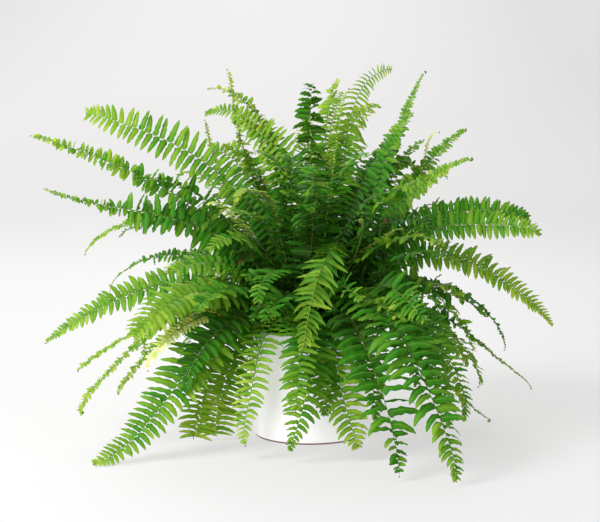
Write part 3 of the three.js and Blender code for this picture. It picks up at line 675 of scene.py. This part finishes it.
def add_leaflets(patch, frames, sizes, shares, hand, stem):
    """One row of leaflets to one side of a stem. Each turns partly towards the light, bends over
    under its weight, and has its own small differences."""
    base, forward, side, up = frames
    count = len(sizes)
    jitter = rng.normal(size=(10, count)) * stem["unrest"]
    side = side * hand
    along = (shares - BLADE_START) / (1 - BLADE_START)
    lean = np.radians(stem.get("lean", 7) + 6 * jitter[0] - 12 * (1 - smoothstep(along, 0, 0.2))
                      + stem.get("end_lean", 1) * (13 * smoothstep(along, 0.75, 0.96)
                                                   + 18 * smoothstep(along, 0.96, 1.0)))[:, None]
    rise = np.radians(8 + stem["droop"] / 5 + 7 * stem["ruffle"] * jitter[1])[:, None]
    way = unit((side * np.cos(lean) + forward * np.sin(lean)) * np.cos(rise) + up * np.sin(rise))
    across = forward * np.cos(lean) - side * np.sin(lean)
    normal = unit(hand * np.cross(across, way))
    # turned part of the way to the light
    light = unit(LIGHT - way * dot(way, LIGHT))
    turn = np.arctan2(dot(np.cross(normal, light), way), dot(normal, light))[:, 0]
    turn = np.clip(turn, -2.0, 2.0) * stem["seek"] + np.radians(12) * stem["ruffle"] * jitter[2]
    normal = rotate(normal, way, turn)
    across = hand * np.cross(way, normal)

    sizes = sizes * (1 + 0.08 * jitter[3])
    widths = leaflet_width(sizes, stem) * (BREADTH + 0.08 * jitter[4])
    droop = np.radians(stem["droop"] + 15 * jitter[5]) * (0.45 + 0.55 * normal[:, 2])
    sickle = np.radians(7 - 26 * across[:, 2] + 9 * jitter[6])
    # painted shade: darker in the thick of the plant, where the plant shades itself; paler towards the
    # tip of the frond. The few withered leaflets also turn up only in the thick.
    reach = np.linalg.norm(base[:, :2], axis=1)
    shade_and_wither_depth = np.exp(-(reach / 120) ** 2) * (1 - smoothstep(base[:, 2], 330, 480))
    ripeness_and_painted_shade = (stem["tone"] - 0.08 + 0.14 * smoothstep(along, 0.2, 0.9) + 0.06 * smoothstep(along, 0.85, 1.0)
            - 0.18 * shade_and_wither_depth + 0.035 * jitter[7])
    ripeness_and_painted_shade = np.clip(ripeness_and_painted_shade, 0, max(0.70, stem["tone"] + 0.1))
    withered = rng.rand(count) < 0.003 * shade_and_wither_depth
    ripeness_and_painted_shade = np.where(withered, rng.uniform(1.1, 1.3, count), ripeness_and_painted_shade)
    phase = rng.rand(count) * 2 * math.pi
    shade = rng.rand(count)
    fold = 0.22 + 0.13 * jitter[8]

    top = np.inf
    for least, u in STATIONS:
        chosen = np.flatnonzero((sizes >= least) & (sizes < top))
        top = least
        if len(chosen) == 0:
            continue
        n, rows = len(chosen), len(u) - 1
        half, side_share = leaflet_shape(u), np.abs(ACROSS)
        bend = (droop[chosen, None] * u ** 1.15)[..., None]
        hook = (sickle[chosen, None] * u)[..., None]
        w, c, m = way[chosen, None], across[chosen, None], normal[chosen, None]
        tangent = w * np.cos(bend) - m * np.sin(bend)
        face = m * np.cos(bend) + w * np.sin(bend)
        line = tangent * np.cos(hook) + c * np.sin(hook)
        cross = c * np.cos(hook) - tangent * np.sin(hook)
        steps = (line[:, 1:] + line[:, :-1]) / 2 * np.diff(u)[:, None] * sizes[chosen, None, None]
        middle = np.concatenate([np.zeros((n, 1, 3)), np.cumsum(steps, axis=1)], axis=1)
        width = widths[chosen, None, None] / 2
        y = width * half * ACROSS
        wave = np.sin(18 * u[:, None] + phase[chosen, None, None] + 2.2 * np.sign(ACROSS))
        z = width * (-fold[chosen, None, None] * side_share ** 1.5 + 0.20 * wave * side_share) * half
        grid = (base[chosen, None, None] + middle[:, :, None] + cross[:, :, None] * y[..., None]
                + face[:, :, None] * z[..., None])
        grid = keep_clear(grid, base[chosen])
        a = (np.arange(rows)[:, None] * 5 + np.arange(4)).ravel()
        cell = np.stack([a, a + 5, a + 6, a + 1], axis=1)
        if hand > 0:
            cell = cell[:, ::-1]
        quads = (cell[None] + (np.arange(n) * 5 * (rows + 1))[:, None, None]).reshape(-1, 4)
        tones = np.stack(np.broadcast_arrays(
            ripeness_and_painted_shade[chosen, None, None], side_share, u[:, None], shade[chosen, None, None]), axis=-1)
        patch.add(grid.reshape(-1, 3), quads, tones.reshape(-1, 4), 0)


def leaflet_places(stem):
    """Where along the stem its leaflets stand, and how long they are there."""
    profile = np.reshape(stem["profile"], (-1, 2)) / (100, 1)
    share, shares, sizes = profile[0, 0] + 0.004, [], []
    while share < 0.992:
        size = np.interp(share, profile[:, 0], profile[:, 1]) * FULLNESS
        shares.append(share)
        sizes.append(size)
        share += max(LEAST_PITCH, leaflet_width(size, stem) * stem["pitch"] * 0.9) / stem["curve"].length
    return np.array(shares), np.array(sizes)


def add_bud(patch, tip, forward, side, up, radius):
    """The small coiled bud that a frond ends in."""
    turns = np.linspace(0, 1.6 * math.pi, 11)
    reach = radius * (1 - 0.42 * turns / turns[-1])
    centre = tip - up * radius
    points = centre + (up * np.cos(turns)[:, None] + forward * np.sin(turns)[:, None]) * reach[:, None]
    ways = unit(np.gradient(points, axis=0))
    sides = np.repeat(side[None], len(turns), axis=0)
    thick = radius * np.interp(turns / turns[-1], [0, 0.15, 0.8, 1], [0.35, 0.62, 0.55, 0.1])
    tube(patch, points, sides, np.cross(ways, sides), thick, 0.4, np.full(len(turns), 0.7), shade=0.5)


def add_frond(patch, stem):
    """A stem with its two rows of leaflets and the bud at its tip."""
    stem["seek"] = rng.uniform(0.36, 0.56)
    stem["droop"] = stem.get("sag", rng.uniform(38, 58))
    stem["ruffle"] = 1 + 7 * max(0, stem["breadth"] - 1.06)
    stem["unrest"] = stem.get("unrest", 0.6 + 0.6 * smoothstep(stem["breadth"], 0.94, 1.2))
    spine = Spine(stem)
    shares = np.linspace(0, 1, max(14, int(spine.length / 8)))
    points, forward, side, up = spine.at(shares)
    points = np.concatenate([[points[0] - forward[0] * 8], points])
    side, up = (np.concatenate([part[:1], part]) for part in (side, up))
    along = np.concatenate([[0], shares])
    radii = STEM_RADIUS[0] + (STEM_RADIUS[1] - STEM_RADIUS[0]) * along ** 0.8
    radii[-1] *= 0.3
    tube(patch, points, side, up, radii, stem["tone"], along)
    add_bud(patch, points[-1], forward[-1], side[-1], up[-1], stem.get("bud", BUD_RADIUS))
    shares, sizes = leaflet_places(stem)
    step = np.append(np.diff(shares), 0.004)
    for hand, offset in ((1, 0.0), (-1, 0.45)):
        places = np.minimum(shares + step * offset, 0.997)
        add_leaflets(patch, spine.at(places), sizes, places, hand, stem)


# Materials

class Shader:
    """A material, with short ways to add its nodes. A value is a number, a colour or a socket."""

    def __init__(self, name, roughness, specular=0.5):
        self.material = bpy.data.materials.new(name)
        self.material.use_nodes = True
        self.nodes, self.links = self.material.node_tree.nodes, self.material.node_tree.links
        self.surface = self.nodes["Principled BSDF"]
        self.place = self.add("TexCoord").outputs["Object"]
        self.set("Roughness", roughness)
        self.set("Specular IOR Level", specular)

    def join(self, value, socket):
        if isinstance(value, bpy.types.NodeSocket):
            self.links.new(value, socket)
        else:
            socket.default_value = value

    def set(self, name, value):
        self.join(value, self.surface.inputs[name])

    def add(self, kind, *inputs, **values):
        node = self.nodes.new("ShaderNode" + kind)
        for name, value in values.items():
            if hasattr(node, name):
                setattr(node, name, value)
            else:
                self.join(value, node.inputs[name])
        for value, socket in zip(inputs, node.inputs):
            self.join(value, socket)
        return node

    def math(self, operation, *values):
        return self.add("Math", *values, operation=operation).outputs[0]

    def mix(self, factor, one, two, blend="MIX"):
        node = self.add("Mix", data_type="RGBA", blend_type=blend)
        for value, index in ((factor, 0), (one, 6), (two, 7)):
            self.join(value, node.inputs[index])
        return node.outputs[2]

    def ramp(self, factor, *stops):
        node = self.add("ValToRGB", factor)
        elements = node.color_ramp.elements
        while len(elements) < len(stops):
            elements.new(0.5)
        for element, (place, colour) in zip(elements, stops):
            element.position = place
            element.color = (*colour, 1)
        return node.outputs[0]

    def noise(self, scale, detail, **values):
        return self.add("TexNoise", Vector=self.place, Scale=scale, Detail=detail, **values).outputs[0]

    def bump(self, height, strength, distance):
        self.set("Normal", self.add("Bump", Height=height, Strength=strength, Distance=distance).outputs[0])

    def tone(self):
        """What each point carries: tone, place across and along the leaflet, and shade."""
        tone = self.add("Attribute", attribute_name="tone")
        return (*self.add("SeparateColor", tone.outputs["Color"]).outputs, tone.outputs["Alpha"])


def leaf_material():
    """Green blade: tone by frond, with painted shade deep in the plant, shade by leaflet, pale midrib,
    fine side veins, darker edges and a mottle whose pale end is a painted sheen.
    """
    shader = Shader("fern_leaf", 0.48, 0.08)
    tone, across, along, shade = shader.tone()
    ripeness_and_painted_shade = shader.math("ADD", tone, shader.math("MULTIPLY_ADD", shade, 0.17, -0.14))
    ripeness_and_painted_shade = shader.math("MULTIPLY_ADD", along, 0.12, ripeness_and_painted_shade)
    ripeness_and_painted_shade = shader.math("ADD", ripeness_and_painted_shade, shader.math("MULTIPLY_ADD", shader.noise(11, 2), 0.32, -0.15))
    colour = shader.ramp(
        shader.math("MULTIPLY", ripeness_and_painted_shade, 0.8),
        (0.0, (0.003, 0.05, 0.002)), (0.2, (0.015, 0.158, 0.004)), (0.4, (0.152, 0.3, 0.016)),
        (0.6, (0.385, 0.472, 0.062)), (0.74, (0.6, 0.69, 0.21)), (0.84, (0.8, 0.85, 0.75)),
        (0.92, (0.3, 0.14, 0.04)), (1.0, (0.12, 0.05, 0.02)))
    # Mottle that multiplies the colour; its pale, bluish high end is a painted sheen for highlights.
    mottle_and_sheen = shader.ramp(shader.noise(90, 3), (0.3, (0.55, 0.62, 0.5)), (0.7, (1.45, 1.26, 2.0)))
    colour = shader.mix(0.5, colour, mottle_and_sheen, "MULTIPLY")
    vein = shader.math("MULTIPLY_ADD", along, 150, shader.math("MULTIPLY", across, -14))
    vein = shader.math("MULTIPLY_ADD", shader.math("SINE", vein), 0.07, 0.05)
    rib = shader.math("MULTIPLY", shader.math("LESS_THAN", across, 0.08), 0.28)
    colour = shader.mix(shader.math("MAXIMUM", vein, rib), colour, (0.3, 0.42, 0.09, 1))
    edge = shader.math("MULTIPLY", shader.math("POWER", across, 3), 0.68)
    colour = shader.mix(edge, colour, (0.42, 0.52, 0.42, 1), "MULTIPLY")
    shader.set("Base Color", colour)
    shader.bump(vein, 0.25, 0.0004)
    through = shader.add("BsdfTranslucent", shader.mix(1, colour, (1.75, 1.55, 0.8, 1), "MULTIPLY"))
    blend = shader.add("MixShader", 0.4, shader.surface.outputs[0], through.outputs[0])
    shader.links.new(blend.outputs[0], shader.nodes["Material Output"].inputs["Surface"])
    return shader.material


def stem_material():
    """Stem: brown near the soil, green towards the tip."""
    shader = Shader("fern_stem", 0.6, 0.12)
    colour = shader.ramp(
        shader.tone()[2], (0.0, (0.03, 0.016, 0.006)), (0.25, (0.04, 0.042, 0.009)),
        (0.6, (0.07, 0.11, 0.016)), (1.0, (0.21, 0.32, 0.05)))
    grain = shader.ramp(shader.noise(350, 2), (0.35, (0.5, 0.45, 0.4)), (0.65, (1.3, 1.25, 1.2)))
    shader.set("Base Color", shader.mix(0.6, colour, grain, "MULTIPLY"))
    return shader.material


def glaze_material():
    """White glaze, very slightly uneven."""
    shader = Shader("pot_glaze", 0.33)
    shader.set("Base Color", shader.ramp(
        shader.noise(14, 4), (0.3, (0.83, 0.81, 0.83)), (0.7, (0.87, 0.85, 0.87))))
    shader.bump(shader.noise(55, 2), 0.12, 0.0006)
    return shader.material


def clay_material():
    """Bare brown clay of the pot's foot."""
    shader = Shader("pot_foot", 0.85)
    shader.set("Base Color", shader.ramp(
        shader.noise(600, 3), (0.3, (0.1, 0.055, 0.035)), (0.7, (0.22, 0.13, 0.085))))
    return shader.material


def soil_material():
    """Damp crumbs of potting mix."""
    shader = Shader("potting_mix", 0.95)
    crumbs = shader.noise(260, 5, Roughness=0.7)
    shader.set("Base Color", shader.ramp(
        crumbs, (0.3, (0.01, 0.007, 0.005)), (0.55, (0.045, 0.03, 0.02)), (0.8, (0.11, 0.08, 0.055))))
    shader.bump(crumbs, 0.8, 0.0015)
    return shader.material


def stage_material():
    """Pale floor and backdrop. It glows by itself, a painted light that keeps it evenly bright and
    washes out the shadows that fall on it. It glows more far away, and less at the upper corners and
    on the right, which paints shade there.
    """
    shader = Shader("stage", 0.9, 0.1)
    shader.set("Base Color", (0.19, 0.19, 0.19, 1))
    shader.set("Emission Color", (1, 0.99, 0.985, 1))
    distance = shader.add("VectorMath", shader.place, operation="LENGTH").outputs["Value"]
    glow = shader.add("MapRange", distance, 2.2, 4.9, 0.545, 0.705, interpolation_type="SMOOTHSTEP")
    x, _, z = shader.add("SeparateXYZ", shader.place).outputs
    # Painted shade: less glow towards the upper corners and on the right, a little more on the left.
    corner_shade = shader.math("MULTIPLY", shader.math("MULTIPLY", x, x), z)
    corner_shade = shader.math("MULTIPLY_ADD", x, 0.05, shader.math("MULTIPLY", corner_shade, 0.16))
    corner_shade = shader.math("MINIMUM", shader.math("MAXIMUM", corner_shade, -0.01), 0.12)
    shader.set("Emission Strength", shader.math("SUBTRACT", glow.outputs[0], corner_shade))
    return shader.material


# Camera and light

camera = bpy.data.objects.new("camera", bpy.data.cameras.new("camera"))
bpy.context.scene.collection.objects.link(camera)
camera.location = (-0.0146775, -2.928888, 0.649319)
camera.rotation_euler = (math.radians(90 - 7.438), 0, 0)
camera.data.sensor_width = 36
camera.data.lens = 116.505
bpy.context.scene.camera = camera

scene = bpy.context.scene
scene.view_settings.view_transform = "Standard"
scene.world = bpy.data.worlds.new("studio")
scene.world.use_nodes = True
background = scene.world.node_tree.nodes["Background"]
background.inputs["Color"].default_value = (0.98, 0.99, 1.0, 1)
background.inputs["Strength"].default_value = 0.34

# Each row: name, place, height over the origin that it aims at, size, power, spread in degrees.
# The narrow spread of the front one keeps it off the floor below it.
LIGHTS = [
    ("key", (-2.2, -1.4, 2.35), 0.25, 1.6, 172, 180),
    ("back", (-0.3, 2.2, 2.3), 0.30, 1.8, 74, 180),
    ("front", (-1.1, -2.9, 0.8), 0.15, 1.2, 14, 90),
    ("fill", (2.4, -1.6, 1.4), 0.20, 2.0, 20, 180),
]
for name, place, height, size, power, spread in LIGHTS:
    light = bpy.data.lights.new(name, "AREA")
    light.size, light.energy, light.spread = size, power, math.radians(spread)
    lamp = bpy.data.objects.new(name, light)
    lamp.location = place
    lamp.rotation_euler = (Vector((0, 0, height)) - Vector(place)).to_track_quat("-Z", "Y").to_euler()
    scene.collection.objects.link(lamp)

# Pieces

leaf, stem_skin = leaf_material(), stem_material()


def finish_piece(piece, node=None):
    if node:
        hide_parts(node)
    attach(piece, "root")


def add_crown(patch, foot):
    """The short stump that the fronds of a crown grow from."""
    heights = np.array([-9.0, -1.0, 2.0, 4.0, 5.0])
    points = foot + np.stack([0 * heights, 0 * heights, heights], axis=1)
    radii = np.array([5.3, 5.2, 4.8, 3.8, 1.2])
    east, north = np.tile([1.0, 0, 0], (5, 1)), np.tile([0, 1.0, 0], (5, 1))
    tube(patch, points, east, north, radii, 0.3, np.zeros(5), sides=10)


def make_fronds(name, stems, node=None, foot=None):
    patch = Patchwork()
    for stem in stems:
        add_frond(patch, stem)
    if foot is not None:
        add_crown(patch, foot)
    finish_piece(patch.make(name, [leaf, stem_skin]), node)


for index, stem in enumerate(singles):
    young = index - len(FRONDS)
    node = f"young_frond_{young + 1}" if young >= 0 else f"frond_{index + 1:02d}"
    make_fronds("fine_" + node, [stem], node)
for index, crown in enumerate(crowns):
    node = f"frond_tuft_{index + 1:02d}"
    make_fronds("fine_" + node, crown["stems"], node, crown["foot"])
for name, stems in (("short_fronds", short_stems), ("inner_fronds", inner_stems),
                    ("further_fronds", further_stems)):
    make_fronds(name, stems)


def add_crozier(patch, x, y, z, size):
    """A bare stalk whose tip is rolled up in a flat coil, thicker than it is wide."""
    row = (x, y, z, 84, 86, math.degrees(math.atan2(y, x)), 0.45, 0.35)
    curve = growth_curve(row, root=np.array([x * 0.3, y * 0.3, SOIL_TOP]))
    stalk = curve.spaced(np.linspace(0, 1, STALK_POINTS - 1))
    forward = curve.tangents([1])[0]
    turned = rng.uniform(-0.7, 0.7)
    plane = np.array([math.sin(turned), -math.cos(turned), 0])
    plane = unit(plane - forward * (plane @ forward))
    inward = np.cross(plane, forward)
    turns = np.linspace(0, COIL_TURNS * 2 * math.pi, COIL_POINTS + 1)[1:, None]
    radius = size * (1 - 0.62 * turns / turns[-1])
    coil = stalk[-1] + inward * size - inward * radius * np.cos(turns) + forward * radius * np.sin(turns)
    points = np.concatenate([stalk[:1] - [0, 0, 8], stalk, coil])
    ways = unit(np.gradient(points, axis=0))
    up = unit(plane - ways * dot(plane, ways))
    side = np.cross(up, ways)
    radii = np.append(np.linspace(1.3, 0.8, STALK_POINTS), np.linspace(0.8, 0.6, COIL_POINTS))
    radii[-1] = 0.1
    flat = np.append(np.full(STALK_POINTS, 1.0), np.linspace(1.0, 2.0, COIL_POINTS))[:, None]
    along = np.append(np.linspace(0.1, 0.7, STALK_POINTS), np.full(COIL_POINTS, 0.97))
    tube(patch, points, side, up * flat, radii, 0.7, along, sides=8)


patch = Patchwork()
for crozier in CROZIERS:
    add_crozier(patch, *crozier)
finish_piece(patch.make("croziers", [leaf, stem_skin]))


def lathe(name, profile, sides, materials, bare=0):
    """A turned piece from pairs of radius and height. Its first few bands have the second material."""
    angles = np.linspace(0, 2 * math.pi, sides, endpoint=False)
    profile = np.array(profile, float)
    grid = np.stack([profile[:, None, 0] * np.cos(angles), profile[:, None, 0] * np.sin(angles),
                     np.repeat(profile[:, 1:], sides, axis=1)], axis=2).reshape(-1, 3)
    kinds = np.repeat(np.arange(len(profile) - 1) < bare, sides)
    patch = Patchwork()
    patch.add(grid, ring_quads(len(profile), sides), np.zeros((len(grid), 4)), kinds)
    return patch.make(name, materials)


def arc(centre, radius, start, end, count):
    """Pairs of radius and height on a round edge."""
    angles = np.radians(np.linspace(start, end, count))
    return [(centre[0] + radius * math.cos(a), centre[1] + radius * math.sin(a)) for a in angles]


outer = POT_RADIUS
inner = POT_RADIUS - WALL
pot_profile = (
    [(0.4, 0), (outer - 3.2, 0), (outer - 2.5, 0.5), (outer - 2.5, 2.2)]
    + arc((outer - 3, 5.2), 3.0, -80, 0, 7)
    + [(outer, z) for z in np.linspace(8, POT_HEIGHT - 6, 12)]
    + arc((outer - 2.6, POT_HEIGHT - 2.6), 2.6, 10, 90, 7)
    + arc((inner + 2.6, POT_HEIGHT - 2.6), 2.6, 90, 180, 7)
    + [(inner, z) for z in np.linspace(POT_HEIGHT - 8, FLOOR + 6, 8)]
    + arc((inner - 4, FLOOR + 4), 4.0, 0, -90, 6)
    + [(0.4, FLOOR)])
pot = lathe("fine_pot", pot_profile, POT_SIDES, [glaze_material(), clay_material()], bare=3)
finish_piece(pot, "pot")


def soil_height(x, y):
    """Uneven surface of the potting mix, in millimetres."""
    return (1.1 * np.sin(x * 0.083 + 1.1) * np.cos(y * 0.071 - 0.4) + 0.9 * np.sin(x * 0.19 + y * 0.23)
            + 0.5 * np.sin(x * 0.61 - 0.5) * np.sin(y * 0.53 + 1.7))


rings = np.linspace(0.5, inner - 0.3, SOIL_RINGS)
angles = np.linspace(0, 2 * math.pi, SOIL_SIDES, endpoint=False)
x, y = rings[:, None] * np.cos(angles), rings[:, None] * np.sin(angles)
z = SOIL_TOP + soil_height(x, y) + rng.normal(size=x.shape) * 0.55
top = np.stack([x, y, z], axis=2)
below = [np.stack([x[ring], y[ring], np.full(SOIL_SIDES, height)], axis=1)
         for ring, height in ((-1, SOIL_TOP - 6), (-1, 60), (-1, FLOOR + 0.4), (0, FLOOR + 0.4))]
grid = np.concatenate([top, below])
quads = ring_quads(len(grid), SOIL_SIDES)[:, [0, 3, 2, 1]]      # these rings go inside out
patch = Patchwork()
patch.add(grid.reshape(-1, 3), quads, np.zeros((len(grid) * SOIL_SIDES, 4)), 0)
finish_piece(patch.make("fine_soil", [soil_material()]), "soil")

# Round floor that rises into a backdrop on all sides, wide enough to look at the fern from anywhere
FLOOR_REACH, SWEEP_RADIUS, BACKDROP_HEIGHT = 3400, 1500, 3600
sweep = ([(FLOOR_REACH + SWEEP_RADIUS, BACKDROP_HEIGHT)]
         + arc((FLOOR_REACH, SWEEP_RADIUS), SWEEP_RADIUS, 0, -90, 16)
         + [(radius, 0) for radius in (2600, 1600, 800, 300, 1)])
stage = lathe("stage", sweep, STAGE_SIDES, [stage_material()])
